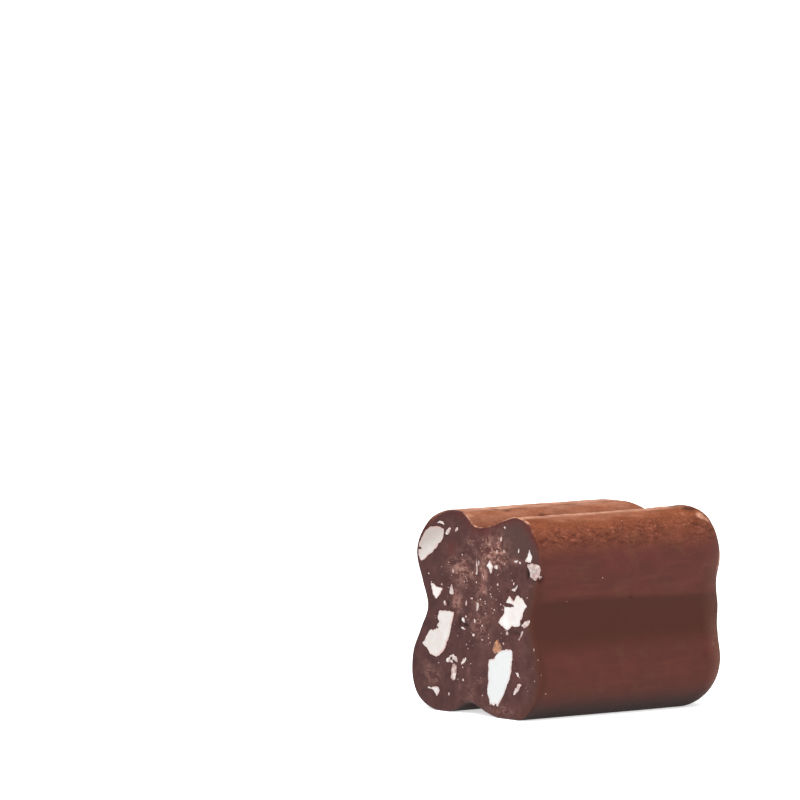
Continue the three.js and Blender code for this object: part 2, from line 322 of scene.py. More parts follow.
def contour(tree, place, size, width, **settings):
    """Thin curly lines, from 0 to 1, where a noise with grains of `size` millimetres crosses its middle."""
    value = pattern(tree, place, size, **settings)
    aside = add(tree, "ShaderNodeMath", {0: value, 1: 0.5}, operation="SUBTRACT").outputs[0]
    aside = add(tree, "ShaderNodeMath", {0: aside}, operation="ABSOLUTE").outputs[0]
    return ramp(tree, aside, width, 0.0, "SMOOTHSTEP")


def skin_material():
    """Dark chocolate and nut paste, pressed through a die and dusted with cocoa: matt, red-brown, blotched.

    The dusted top is a warm orange-brown, its crumbs lit and its pits shaded with paint. The side is plain.
    Painted shade darkens its grooves, lower side and foot, and painted highlights pale its crests and the
    cut's top edge.
    """
    material, tree, place = new_material("die_pressed_dark_chocolate_dusted_with_cocoa")
    tone = pattern(tree, place, 2.6, 3.0, 0.6, stretch=(1.5, 1, 1))
    base = blend(tree, ramp(tree, tone, 0.38, 0.62), "#482722", "#4e2824")
    olive = pattern(tree, place, 1.6, 2.0, 0.5, stretch=(1.4, 1, 1.3), distortion=0.6)
    base = blend(tree, times(tree, ramp(tree, olive, 0.5, 0.72), 0.4), base, "#513326")
    drag = pattern(tree, place, 0.6, 2.0, 0.5, stretch=(9, 1, 1))
    base = blend(tree, times(tree, ramp(tree, drag, 0.52, 0.8), 0.16), base, "#6a3e33")
    # painted shade along the side groove and over the lower side, and paste the knife smeared near the cut
    base = blend(tree, attribute(tree, "groove_shade_and_smear"), base, "#3e221c")
    # painted shade where the skin turns under towards the floor
    base = blend(tree, attribute(tree, "foot_shade"), base, "#2c201e")
    # cocoa: an even bloom, thick on top and fading down the shoulder
    cloud = pattern(tree, place, 1.5, 3.0, 0.6, stretch=(2.0, 1, 1))
    cocoa = blend(tree, ramp(tree, cloud, 0.35, 0.65), "#673520", "#79412a")
    fine = pattern(tree, place, 0.26, 3.0, 0.65)
    cocoa = blend(tree, times(tree, ramp(tree, fine, 0.45, 0.75), 0.5), cocoa, "#996046")
    # its single grains, drawn coarser than they are so that they show
    powder = pattern(tree, place, 0.16, 2.0, 0.6)
    cocoa = blend(tree, times(tree, ramp(tree, powder, 0.52, 0.75), 0.22), cocoa, "#a06a50")
    dust = attribute(tree, "dust")
    base = blend(tree, dust, base, cocoa)
    # where it is pitted, the crumbs take painted highlights and the pits between them painted shade
    crumb = pattern(tree, place, 0.6, 4.0, 0.62, stretch=(1.9, 1, 0.8), distortion=0.4)
    dusted = ramp(tree, dust, 0.05, 0.45)
    lit = times(tree, ramp(tree, crumb, 0.54, 0.68), times(tree, attribute(tree, "pitted"), dusted))
    base = blend(tree, times(tree, lit, 0.65), base, "#985c48")
    sunk = times(tree, ramp(tree, crumb, 0.46, 0.36), attribute(tree, "pitted"))
    base = blend(tree, times(tree, sunk, 0.85), base, "#45211a")
    # pale cocoa on the near crest, with painted highlights: crest line, far lobe's top, end rim, cut lip,
    # pale marks
    specks = ramp(tree, pattern(tree, place, 0.3, 3.0, 0.65, stretch=(1.6, 1, 1)), 0.3, 0.66)
    pale_cocoa_and_highlight = times(tree, attribute(tree, "pale_cocoa_and_highlight"), times(tree, specks, 0.45, "ADD"))
    base = blend(tree, pale_cocoa_and_highlight, base, "#c3927a")
    # dark spots, the worn patch near the cut, and painted shade in dents
    base = blend(tree, attribute(tree, "dark_marks_and_shade"), base, "#2a1512")
    grain = times(tree, crumb, attribute(tree, "pitted"))
    relief = times(tree, grain, times(tree, fine, 0.1), "ADD")
    finish_material(tree, base, 0.7, relief, 0.45, **{"Specular IOR Level": 0.06})
    return material


def cut_material():
    """Nut paste where the knife went through: smooth, greyish and slightly waxy, with paler crumbly patches.

    The crumb shows as short curly light-brown shreds with painted shade in the hollows between, the smooth
    parts as a cloudy grey-brown, redder towards the top edge. The face's hollows are darkened with painted
    shade.
    """
    material, tree, place = new_material("knife_cut_nut_paste")
    tone = pattern(tree, place, 1.7, 3.0, 0.6)
    base = blend(tree, ramp(tree, tone, 0.36, 0.64), "#3a2221", "#4a2e2b")
    across = add(tree, "ShaderNodeSeparateXYZ", {0: place}).outputs["Y"]
    base = blend(tree, times(tree, ramp(tree, across, -5.0, 7.0), 0.3), base, "#2e1b1b")
    base = blend(tree, attribute(tree, "rim"), base, "#412c29")
    base = blend(tree, attribute(tree, "red"), base, "#4a2220")
    base = blend(tree, attribute(tree, "worn"), base, "#41251f")
    fine = pattern(tree, place, 0.5, 3.0, 0.7, stretch=(1, 1.5, 1))
    base = blend(tree, times(tree, ramp(tree, fine, 0.52, 0.78), 0.3), base, "#5c3a36")
    crumbly = attribute(tree, "crumbly")
    base = blend(tree, times(tree, crumbly, 0.65), base, "#5a342f")
    wide = (1, 1.5, 1)
    long_curls = contour(tree, place, 1.0, 0.12, detail=1.0, distortion=0.5, stretch=wide)
    long_shreds = times(tree, long_curls, ramp(tree, pattern(tree, place, 0.9, stretch=wide), 0.4, 0.58))
    short_curls = contour(tree, place, 0.55, 0.12, detail=1.0, distortion=0.4, stretch=wide)
    short_shreds = times(tree, short_curls, ramp(tree, pattern(tree, place, 0.7, stretch=wide), 0.45, 0.6))
    shreds = times(tree, times(tree, long_shreds, short_shreds, "MAXIMUM"), crumbly)
    base = blend(tree, times(tree, shreds, 0.9), base, "#a98073")
    # painted shade in the hollows between the shreds
    dips = pattern(tree, place, 0.55, 2.0, 0.5, stretch=wide)
    hollow_shade = times(tree, ramp(tree, dips, 0.45, 0.33), crumbly)
    base = blend(tree, times(tree, hollow_shade, 0.6), base, "#38211e")
    pink = times(tree, attribute(tree, "pink"), ramp(tree, fine, 0.3, 0.65))
    base = blend(tree, pink, base, "#7e5550")
    # painted shade in the face's hollows
    base = blend(tree, attribute(tree, "dark_marks_and_shade"), base, "#1d1412")
    relief = times(tree, shreds, times(tree, fine, 0.12), "ADD")
    finish_material(tree, base, 0.5, relief, 0.12, **{"Specular IOR Level": 0.07})
    return material


def nut_material():
    """Blanched hazelnut cut through: dense, ivory, a little oily, and pinkish where paste has smeared it."""
    material, tree, place = new_material("cut_blanched_hazelnut")
    cloud = pattern(tree, place, 1.5, 3.0, 0.55)
    base = blend(tree, ramp(tree, cloud, 0.3, 0.7), "#bfbfbe", "#b6ada8")
    base = blend(tree, attribute(tree, "cool"), base, "#b3b5b5")
    base = blend(tree, attribute(tree, "grey"), base, "#948883")
    base = blend(tree, times(tree, attribute(tree, "edge"), 0.75), base, "#a98680")
    base = blend(tree, attribute(tree, "stain"), base, "#7e5e59")
    smear = ramp(tree, pattern(tree, place, 0.35, 3.0, 0.6, stretch=(1, 1, 2.5)), 0.66, 0.8)
    base = blend(tree, times(tree, smear, 0.35), base, "#a27c70")
    finish_material(tree, base, 0.4, pattern(tree, place, 0.4, 3.0, 0.6), 0.03, **{
        "Specular IOR Level": 0.45, "Subsurface Weight": 0.1, "Subsurface Scale": 0.3 * MM,
        "Subsurface Radius": (1.0, 0.7, 0.5),
    })
    return material


def fleck_material():
    """Ground nut: specks too small to show their white, so they look pinkish beige."""
    material, tree, place = new_material("ground_hazelnut_flecks")
    tone = pattern(tree, place, 0.6, 2.0, 0.5)
    base = blend(tree, ramp(tree, tone, 0.35, 0.65), "#83605a", "#c4aaa2")
    finish_material(tree, base, 0.55)
    return material


def nut_skin_material():
    """A scrap of toasted hazelnut skin: papery, orange-brown."""
    material, tree, place = new_material("toasted_hazelnut_skin")
    tone = pattern(tree, place, 0.5, 3.0, 0.6)
    base = blend(tree, ramp(tree, tone, 0.35, 0.65), "#50342c", "#a06a45")
    finish_material(tree, base, 0.5, tone, 0.05)
    return material


def cocoa_material():
    """Cocoa powder in little clumps: dry, matt, orange-brown, uneven in tone."""
    material, tree, place = new_material("cocoa_powder_clumps")
    tone = pattern(tree, place, 0.3, 2.0, 0.6)
    base = blend(tree, ramp(tree, tone, 0.35, 0.65), "#502a20", "#6e3e2c")
    finish_material(tree, base, 0.85, None, **{"Specular IOR Level": 0.2})
    return material


def floor_material():
    """A white light table: matt, even, and glowing softly, so that next to no shadow is left on it."""
    material, tree, place = new_material("white_light_table")
    base = blend(tree, pattern(tree, place, 40.0), "#f6f6f5", "#fafafa")
    finish_material(tree, base, 0.9, **{"Emission Color": "#ffffff", "Emission Strength": 0.6})
    return material


SKIN = skin_material()
CUT = cut_material()
NUT = nut_material()
FLECK = fleck_material()
NUT_SKIN = nut_skin_material()
COCOA = cocoa_material()


# Meshes

def mesh_object(name, points, faces, materials, slots=None):
    """A new object from points in millimetres and faces, smooth shaded. slots gives each face's material."""
    mesh = bpy.data.meshes.new(name)
    mesh.from_pydata((np.asarray(points) * MM).tolist(), [], faces)
    for material in materials:
        mesh.materials.append(material)
    if slots is not None:
        mesh.polygons.foreach_set("material_index", slots)
    mesh.polygons.foreach_set("use_smooth", [True] * len(mesh.polygons))
    mesh.update()
    thing = bpy.data.objects.new(name, mesh)
    bpy.context.scene.collection.objects.link(thing)
    return thing


def store(thing, name, values):
    """Stores one number for each point of the mesh."""
    layer = thing.data.attributes.new(name, "FLOAT", "POINT")
    layer.data.foreach_set("value", np.asarray(values, float).ravel())


def closed_faces(ring_count, size):
    """Faces that close a stack of rings. The two middle points come first, then the rings from -X to +X."""
    def point(i, j):
        return 2 + i * size + j % size

    first = [(0, point(0, j + 1), point(0, j)) for j in range(size)]
    last = [(1, point(ring_count - 1, j), point(ring_count - 1, j + 1)) for j in range(size)]
    between = [(point(i, j), point(i, j + 1), point(i + 1, j + 1), point(i + 1, j))
               for i in range(ring_count - 1) for j in range(size)]
    return first + between + last


# Where the paste of the cut face crumbled under the knife: [y, z, half width, half height, strength].
CRUMBLY_PATCHES = [
    (-3.0, 18.1, 2.1, 1.5, 1.0),
    (-1.3, 14.9, 0.6, 1.9, 0.75),
    (2.4, 15.8, 2.3, 1.6, 0.46),
    (3.3, 12.4, 1.1, 1.3, 0.45),
    (0.8, 18.8, 0.8, 0.7, 0.4),
    (-0.8, 10.8, 1.6, 2.4, 0.35),
    (7.6, 4.0, 1.6, 1.1, 0.25),
    (1.0, 2.4, 2.4, 0.9, 0.13),
    (-4.9, 0.9, 2.4, 0.5, 0.25),
    (-0.6, 3.8, 0.6, 1.6, 0.15),
]

# Marks on the skin: [x, y, z, length along the bar, height, how deep a dent, how pale, or below 0 how dark].
# The pale ones are mostly painted highlights, the dark ones dark spots and painted shade in dents.
SKIN_MARKS = [
    (10.4, -9.2, 21.2, 0.7, 0.35, 0.0, 0.75),
    (11.3, -9.4, 20.7, 0.6, 0.3, 0.0, 0.6),
    (9.9, -7.9, 22.0, 1.2, 0.3, 0.15, -0.7),
    (8.4, -7.0, 22.2, 0.9, 0.25, 0.1, -0.4),
    (8.0, -8.8, 21.5, 0.4, 0.25, 0.1, 0.12),
    (11.1, -9.9, 8.7, 0.3, 0.12, 0.05, -0.25),
    (11.9, -9.9, 7.4, 0.5, 0.09, 0.1, -0.3),
    (12.2, -9.8, 6.9, 0.4, 0.09, 0.1, -0.3),
    (11.6, -10.0, 7.1, 0.6, 0.35, 0.0, 0.1),
    (9.8, -10.7, 6.2, 0.4, 0.5, 0.0, -0.2),
    (10.9, -10.7, 18.9, 0.7, 0.12, 0.12, -0.4),
    (11.8, -9.9, 18.2, 0.5, 0.12, 0.1, -0.3),
    (11.2, -10.0, 19.7, 0.8, 0.1, 0.12, -0.5),
    (9.0, -10.5, 19.3, 0.8, 0.16, 0.12, -0.3),
    (-0.1, -10.0, 12.9, 0.2, 0.14, 0.05, -0.8),
    (-12.9, 7.3, 21.3, 0.7, 0.25, 0.0, 0.5),
    (-13.1, 1.6, 21.8, 0.7, 0.35, 0.0, 0.45),
    (-7.2, 3.8, 22.1, 1.2, 0.3, 0.0, 0.9),
    (-7.5, 2.6, 21.95, 0.6, 0.14, 0.08, -0.6),
    (12.5, -9.8, 16.0, 0.3, 1.6, 0.0, 0.4),
    (-13.45, -10.75, 15.6, 0.4, 0.4, 0.3, -0.55),
    (1.2, -10.3, 19.8, 0.6, 0.3, 0.15, -0.35),
    (3.4, -10.1, 20.0, 0.3, 0.25, 0.1, -0.2),
    (-3.2, 1.0, 21.25, 0.9, 0.3, 0.12, -0.75),
    (-8.5, 3.5, 22.1, 0.5, 0.3, 0.08, -0.6),
    (-12.2, -0.2, 21.1, 0.3, 0.3, 0.1, -0.7),
    (2.5, 3.2, 22.0, 1.4, 0.3, 0.06, -0.3),
    (-9.4, 4.8, 22.1, 1.6, 0.5, 0.0, 1.0),
    (-5.6, 5.0, 22.1, 1.4, 0.5, 0.0, 1.0),
    (-13.5, 6.3, 21.7, 0.6, 0.3, 0.0, 0.16),
    (-13.4, 7.5, 21.1, 0.6, 0.4, 0.0, 0.06),
]

# Tinted patches of the cut face: [y, z, half width, half height, how pinkish, or below 0 how dark red].
FACE_TINTS = [
    (-1.5, 15.1, 0.42, 0.75, 0.7),
    (-1.15, 14.2, 0.25, 0.5, 0.8),
    (-1.3, 16.1, 0.2, 0.4, 0.8),
    (-7.0, 17.3, 0.8, 0.25, 0.8),
    (-9.5, 14.9, 0.4, 0.12, 0.5),
    (-1.7, 20.25, 1.5, 0.5, -1.0),
    (4.2, 18.0, 0.75, 0.9, -0.8),
    (4.85, 18.15, 0.25, 0.2, 0.5),
    (3.3, 12.4, 0.7, 0.9, 0.25),
    (8.2, 5.0, 0.35, 0.4, 0.35),
    (8.6, 5.4, 0.2, 0.2, 0.3),
    (1.3, 4.9, 0.3, 0.7, 0.35),
    (2.8, 2.9, 0.2, 0.6, 0.4),
    (-5.6, 12.0, 0.9, 1.4, -0.3),
    (6.0, 10.0, 0.8, 1.0, -0.3),
    (-6.9, 5.0, 0.8, 2.0, -0.25),
]

# Hollows in the cut face: [y, z, half width, half height, depth]. Each is also darkened with painted shade.
FACE_HOLLOWS = [
    (-8.95, 16.1, 0.2, 0.5, 0.3),
    (2.75, 10.3, 0.2, 0.5, 0.2),
    (1.75, 9.85, 0.5, 0.18, 0.2),
    (4.9, 12.0, 0.2, 0.4, 0.15),
    (-7.0, 9.6, 0.8, 0.25, 0.12),
    (-0.6, 12.9, 0.15, 0.3, 0.15),
    (-5.5, 14.1, 0.25, 0.3, 0.15),
    (-3.7, 1.1, 0.8, 0.2, 0.12),
]


# Heights on the side, in millimetres: the upper edge of the groove's painted shade near the rounded end and
# how it rises towards the cut, where that shade starts and is full below, where the cocoa starts and over
# what height it thickens, and the foot of the pitted band and how it falls along the bar.
GROOVE_TOP = 12.3
GROOVE_RISE = 0.017
GROOVE_FOOT = 6.0
GROOVE_FULL = 9.3
COCOA_FOOT = 17.5
COCOA_FADE = 4.4
PITS_FOOT = 17.7
PITS_FALL = 0.04


def patch(points, middle, half_sizes):
    """1 at the middle of a soft round patch, and 0 away from it."""
    return np.exp(-(((points - middle) / half_sizes) ** 2).sum(-1))


def strongest(values):
    """At each point, the one of several values that is farthest from 0."""
    result = 0.0
    for value in values:
        result = np.where(np.abs(value) > np.abs(result), value, result)
    return result


def on_face(points, patches):
    """The strongest of some patches of the cut face at each point."""
    return strongest(row[4] * patch(points[..., 1:], row[:2], row[2:4]) for row in patches)


def crumbly(points):
    """How crumbly the cut face is at each point, from 0 to 1."""
    broken = 0.5 + 0.5 * noise_at(points, 1.4, 12, 2)
    return np.clip(on_face(points, CRUMBLY_PATCHES) * (0.45 + 1.2 * broken), 0, 1)


def skin_marks(points):
    """How deep the skin's marks are at each point, and their tone: above 0 a painted highlight, below 0 dark
    spots and painted shade.
    """
    uneven = 0.3 * noise_at(points, 0.5, 25, 2)
    depths, mark_highlights_and_darks = [], []
    for x, y, z, length, height, depth, tone in SKIN_MARKS:
        near = points + uneven[..., None] * (length, 0, height)
        share = smooth(patch(near, (x, y, z), (length, height * 2 + 0.3, height)), 0.1, 0.8)
        depths.append(depth * share)
        mark_highlights_and_darks.append(tone * share)
    return strongest(depths), strongest(mark_highlights_and_darks)


def groove_shade_and_smear(points):
    """How dark each point of the skin is painted, from 0 to 1: painted shade in a band along the side
    groove, clear-edged above and soft below, and fainter over the lower side, and near the cut paste that
    the knife smeared.
    """
    x, y, z = np.moveaxis(points, -1, 0)
    smeared = 0.8 * smooth(x, CUT_X + 1.6, CUT_X + 0.3)
    z = z + 0.12 * noise_at(points, (4, 2, 2), 13)
    upper_edge = GROOVE_TOP + GROOVE_RISE * (13 - x)
    band = smooth(z, GROOVE_FOOT, GROOVE_FULL) * (1 - smooth(z, upper_edge, upper_edge + 1.0))
    smeared = smeared * (0.4 + 0.6 * smooth(z, 19.0, 11.0))
    below = 0.25 * smooth(z, 9.0, 7.0)
    return np.maximum.reduce([band, below, smeared]) * smooth(np.abs(y), 6.5, 8.5)


def foot_shade(points, normals):
    """How much painted shade each point of the skin takes where it turns under towards the floor, from 0 to
    1.
    """
    return smooth(points[..., 2], 4.5, 0.3) * smooth(normals[..., 2], -0.1, -0.85)


def cocoa_cover(points, normals):
    """How much cocoa lies on each point of the skin, from 0 to 1."""
    height = points[..., 2] + 0.45 * noise_at(points, (1.6, 0.9, 0.9), 14, 2)
    return np.clip((height - COCOA_FOOT) / COCOA_FADE, 0, 1) ** 1.3 * smooth(normals[..., 2], -0.3, 0.3)


def pitted(points):
    """How much the cocoa is pitted at each point, from 0 to 1: a band along the near shoulder."""
    x, y, z = np.moveaxis(points, -1, 0)
    band_foot = PITS_FOOT - PITS_FALL * x
    band = smooth(z, band_foot - 0.5, band_foot + 1.2) * (1 - smooth(z, 20.3, 21.5))
    band = band * (1 - smooth(x, 10.5, 12.5))
    broken = 0.5 + 0.5 * noise_at(points, (3.2, 1.5, 1.5), 15, 3)
    return np.clip(smooth(y, -5.5, -8.0) * band * (2.8 * broken - 0.45), 0, 1)


def pale_cocoa_and_painted_highlights(points, normals):
    """How pale the skin is at each point, from 0 to 1: pale cocoa and painted highlights.

    The cocoa is crumbly and pale along the near lobe's crest. Beside it runs a thin painted highlight line,
    the far lobe's top takes a soft painted highlight, and a faint painted rim highlight runs down the
    rounded end's near edge.
    """
    x, y, z = np.moveaxis(points, -1, 0)
    ragged = 0.7 * noise_at(points, (2.0, 0.8, 0.8), 16, 3)
    crest = smooth(y + ragged, -9.3, -7.9) * (1 - smooth(y, -4.4, -3.4)) * smooth(z, 21.0, 21.6)
    along = smooth(x, -13.0, -8.0) * (1 - smooth(x, 2.0, 9.0))
    patchy = 0.55 + 0.45 * noise_at(points, (2.5, 0.6, 0.6), 18, 2)
    far_crest = (0.35 + 0.65 * smooth(y, 2.0, 5.0)) * smooth(y, -0.5, 2.5)
    far_crest *= smooth(normals[..., 2], 0.3, 0.9) * smooth(z, 18.5, 20.5)
    streaky = 0.6 + 0.5 * noise_at(points, (3.0, 0.8, 0.8), 20, 3)
    line = smooth(y, -8.1, -7.3) * (1 - smooth(y, -6.4, -5.6)) * smooth(z, 21.4, 21.8)
    line *= smooth(x, 11.0, 7.0) * (0.75 + 0.4 * noise_at(points, (1.2, 0.6, 0.6), 22, 2))
    end = smooth(x, 9.8, 12.8) * smooth(normals[..., 0], 0.98, 0.7)
    end *= smooth(y, -5.0, -8.0) * (0.4 + 0.6 * smooth(z, 11.0, 8.0))
    crest = 0.3 * crest * along * patchy
    return np.maximum.reduce([crest, 0.95 * far_crest * streaky, 0.85 * line, 0.1 * end])


def lip_highlight(points):
    """How far each point lies in the thin broken line of painted highlight where the cut meets the dusted
    top.
    """
    x, y, z = np.moveaxis(points, -1, 0)
    line = smooth(x, CUT_X + 0.55, CUT_X + 0.3) * smooth(z, 19.0, 20.5)
    line *= smooth(y, 3.4, 2.4) * smooth(y, -9.9, -9.0)
    near_lobe = smooth(z, 21.3, 21.7) * smooth(y, -3.6, -4.4)
    return line * np.clip(0.35 + 0.4 * near_lobe + 0.9 * noise_at(points, 0.7, 21, 2), 0, 0.65)


def last_ring_of_cut():
    """The last ring that the knife's finish reaches, at each point of the outline.

    It takes in the inner part of the edge's rounding: less near the side and the dusted top, and more on the
    far top lobe, but for where the old rounded end's skin is left.
    """
    y, z = SECTION_AT_CUT.T
    old_skin = np.exp(-((angles(SECTION_AT_CUT) - OLD_SKIN_ANGLE) / OLD_SKIN_SPREAD) ** 4)
    dusted_top = smooth(z, 18.8, 20.0) * smooth(y, -9.8, -8.8) * smooth(y, 3.2, 2.2)
    taken = EDGE_RINGS - 1 - 4 * smooth(y, -8.0, -10.0) * (1 - dusted_top) - dusted_top
    taken += 2 * smooth(z, 20.0, 21.0) * smooth(y, 3.4, 4.6)
    taken -= smooth(z, 21.3, 21.7) * smooth(y, -3.6, -4.4)
    return FACE_RINGS - 1 + np.round(taken * (1 - old_skin))


def truffle_bar():
    """The bar as one closed mesh, with the skin's and the cut face's relief in its shape."""
    rings = bar_rings()
    normals = ring_normals(rings)
    x, y, z = np.moveaxis(rings, -1, 0)
    last_cut_ring = last_ring_of_cut()
    ring_number = np.arange(len(rings))[:, None]
    skin_share = smooth(ring_number, last_cut_ring - 0.5, last_cut_ring + 2.5)
    face_share = 1 - skin_share
    tint = on_face(rings, FACE_TINTS) * face_share
    patches = crumbly(rings) * face_share * (1 - np.clip(-tint, 0, 1))
    sunk = on_face(rings, FACE_HOLLOWS)
    dents, mark_highlights_and_darks = skin_marks(rings)
    lip_highlight_share = lip_highlight(rings)
    worn_off = smooth(x, CUT_X + 3.0, CUT_X + 1.0) * smooth(y, 4.0, 6.0)
    dust = cocoa_cover(rings, normals) * skin_share * (1 - worn_off)
    pits = pitted(rings) * (0.05 + 0.95 * smooth(dust, 0.05, 0.4)) * skin_share
    # skin: soft unevenness, faint lengthwise drag lines, dents and the grain of the cocoa
    skin = 0.06 * noise_at(rings, 6.0, 1) + 0.03 * noise_at(rings, 2.0, 2)
    skin += 0.012 * noise_at(rings, (14, 0.7, 0.7), 3) - dents + 0.1 * lip_highlight_share
    skin += 0.03 * dust * noise_at(rings, 0.5, 4, 3) + 0.2 * pits * noise_at(rings, 0.6, 8, 3)
    # cut face: faint knife lines, a slight waviness and the crumbly patches
    face = 0.01 * noise_at(rings, (1, 0.5, 6), 5) + 0.04 * noise_at(rings, 2.5, 6)
    face += patches * 0.16 * noise_at(rings, 0.7, 7, 3) - sunk
    # where the bar rests it stays flat
    lifted = smooth(z, 0.0, 0.6)
    relief = (face * face_share + skin * skin_share) * lifted
    shaped = rings + normals * relief[..., None]
    middle_cut = [CUT_X, 0, CENTRE_Z]
    middle_end = [LENGTH / 2, 0, CENTRE_Z]
    points = np.vstack([[middle_cut, middle_end], shaped.reshape(-1, 3)])
    bands = np.arange(len(rings) - 1)[:, None] < last_cut_ring
    slots = np.r_[np.ones(ROUND, int), bands.astype(int).ravel(), np.zeros(ROUND, int)]
    bar = mesh_object("truffle_bar", points, closed_faces(len(rings), ROUND), [SKIN, CUT], slots)
    # the masks that the two finishes and the scatters read
    inner = np.linalg.norm(rings[..., 1:] - (0, CENTRE_Z), axis=2)
    clumps = smooth(noise_at(rings, 1.3, 17, 2), -0.35, 0.5)
    depth_in = (1 - np.arange(len(rings)) / (FACE_RINGS - 1))[:, None] * inner[FACE_RINGS - 1]
    patchy = 0.5 + 0.5 * noise_at(rings, (1, 1.2, 1.2), 19, 2)
    red = smooth(depth_in, 0.9, 0.1) * smooth(z, 16.0, 19.5) * np.clip(patchy * 1.3, 0, 1) * face_share
    red *= 1 - 0.6 * smooth(y, 2.0, 4.0)
    # the masks carry painted shade (groove, lower side, foot, hollows, dents) and painted highlights (crest
    # line, far lobe top, end rim, lip, pale marks)
    masks = {
        "groove_shade_and_smear": groove_shade_and_smear(rings),
        "foot_shade": foot_shade(rings, normals),
        "dust": dust,
        "pitted": pits,
        "pale_cocoa_and_highlight": np.maximum.reduce([pale_cocoa_and_painted_highlights(rings, normals) * skin_share, lip_highlight_share, mark_highlights_and_darks]),
        "dark_marks_and_shade": np.maximum.reduce([4 * sunk * face_share, -mark_highlights_and_darks, 0.3 * worn_off * skin_share]),
        "crumbly": patches,
        "flecks": clumps * (1 - smooth(inner, 4.5, 10.0)) * face_share + 0.25 * patches,
        "rim": smooth(z, 16.5, 18.5) * smooth(y, -3.6, -5.2) * face_share,
        "red": 0.85 * np.maximum(red, -tint),
        "worn": smooth(y, -6.0, -8.0) * smooth(z, 17.0, 14.5) * smooth(depth_in + 0.4 * patchy, 1.5, 0.4),
        "pink": np.maximum(tint, 0),
    }
    for name, values in masks.items():
        store(bar, name, np.r_[0.0, 0.0, values.ravel()])
    return bar


def face_height(y, z):
    """How far the cut edge's rounding sets the face back, towards +X, at one point."""
    away = angles(SECTION_AT_CUT) - math.atan2(z - CENTRE_Z, y)
    nearest = SECTION_AT_CUT[np.argmin(np.abs(np.angle(np.exp(1j * away))))]
    (inset,), (length,) = cut_edge(nearest[None])
    from_edge = math.hypot(*(nearest - (0, CENTRE_Z))) - math.hypot(y, z - CENTRE_Z)
    if from_edge >= inset:
        return 0.0
    sine = min(1 - from_edge / inset, 1.0)
    return length * (1 - math.sqrt(1 - sine * sine))


def chip(outline, depth, proud, seed, ragged=0.04, taper=0.3, spacing=0.1, chamfer=0.07, bumpy=0.02,
         stained=0.0):
    """A piece of nut set in the cut face, from its outline there: (points, faces, nearness to an edge).

    Its cut side follows the face, stands `proud` of it and is `bumpy`. Its outline is `ragged`, with a point
    every `spacing`, and its inner end is drawn in by `taper`. A stained piece counts as edge all over.
    """
    corners = np.array(outline, float)
    perimeter = np.linalg.norm(corners - np.roll(corners, 1, 0), axis=1).sum()
    count = max(int(perimeter / spacing), 10)
    loop = even_loop(corners, count)
    loop = (loop * 2 + np.roll(loop, 1, 0) + np.roll(loop, -1, 0)) / 4
    tangent = np.roll(loop, -1, 0) - np.roll(loop, 1, 0)
    outward = np.stack([tangent[:, 1], -tangent[:, 0]], 1)
    outward /= np.linalg.norm(outward, axis=1, keepdims=True)
    area = np.sum(loop[:, 0] * np.roll(loop[:, 1], -1) - np.roll(loop[:, 0], -1) * loop[:, 1])
    if area < 0:
        loop, outward = loop[::-1], -outward[::-1]
    around = np.column_stack([loop, np.full(count, seed * 1.7)])
    jag = noise_at(around, 0.6, seed, 2) + 0.9 * noise_at(around, 0.24, seed)
    loop = loop + outward * (jag * ragged)[:, None]
    middle = loop.mean(0)
    steps = max(int(np.linalg.norm(loop - middle, axis=1).max() / spacing / 1.3), 2)
    rings, edge = [], []

    def layer(flat, x, nearness):
        rings.append(np.column_stack([np.broadcast_to(x, count), flat]))
        edge.append(np.full(count, nearness))

    for i in range(1, steps):
        flat = middle + (loop - middle - outward * chamfer) * (i / steps)
        near = 1 - np.clip(np.linalg.norm(loop - middle, axis=1) * (1 - i / steps) / 0.3, 0, 1)
        layer(flat, -proud, near)
    layer(loop - outward * chamfer, -proud, 1.0)
    layer(loop - outward * chamfer * 0.3, -proud + chamfer * 0.3, 1.0)
    layer(loop, -proud + chamfer, 1.0)
    layer(loop, depth / 2, 1.0)
    layer(middle + (loop - middle) * (1 - taper), depth, 1.0)
    rings = np.array(rings)
    front = rings[..., 0] < proud
    wave = bumpy * noise_at(rings, 0.9, seed + 3, 3)
    for i, j in np.argwhere(rings[..., 0] < depth / 2 - 1e-6):
        rings[i, j, 0] += face_height(rings[i, j, 1], rings[i, j, 2]) * 0.9
    rings[..., 0] += CUT_X + np.where(front, wave, 0)
    ends = [[rings[0, :, 0].mean(), *middle], [CUT_X + depth, *middle]]
    return (np.vstack([ends, rings.reshape(-1, 3)]), closed_faces(len(rings), count),
            np.maximum(np.r_[0.0, 1.0, np.concatenate(edge)], stained))


def chips_object(name, chips, material, grey=0.0, cool=0.0, stained=0.0):
    """Several pieces of nut as one mesh.

    grey is how much greyer they turn towards the top, cool is how much cooler they are, and stained is how
    much paste lies on them: one number, or one for each piece.
    """
    points, faces, edge, stain = [], [], [], []
    for (chip_points, chip_faces, chip_edge), share in zip(chips, np.broadcast_to(stained, len(chips))):
        start = sum(len(p) for p in points)
        points.append(chip_points)
        faces += [tuple(start + i for i in face) for face in chip_faces]
        edge.append(chip_edge)
        stain.append(np.full(len(chip_points), share))
    points = np.vstack(points)
    thing = mesh_object(name, points, faces, [material])
    broken = smooth(noise_at(points, 0.8, 40, 2), -0.45, 0.35)
    store(thing, "edge", np.concatenate(edge) ** 2 * (0.3 + 0.7 * broken))
    slope = smooth(points[:, 2] + 0.5 * points[:, 1], 20.5, 23.5)
    store(thing, "grey", grey * (0.35 + 0.65 * slope))
    store(thing, "cool", np.full(len(points), cool))
    store(thing, "stain", np.concatenate(stain) * smooth(noise_at(points, 0.45, 41, 2), -0.5, 0.5))
    return thing


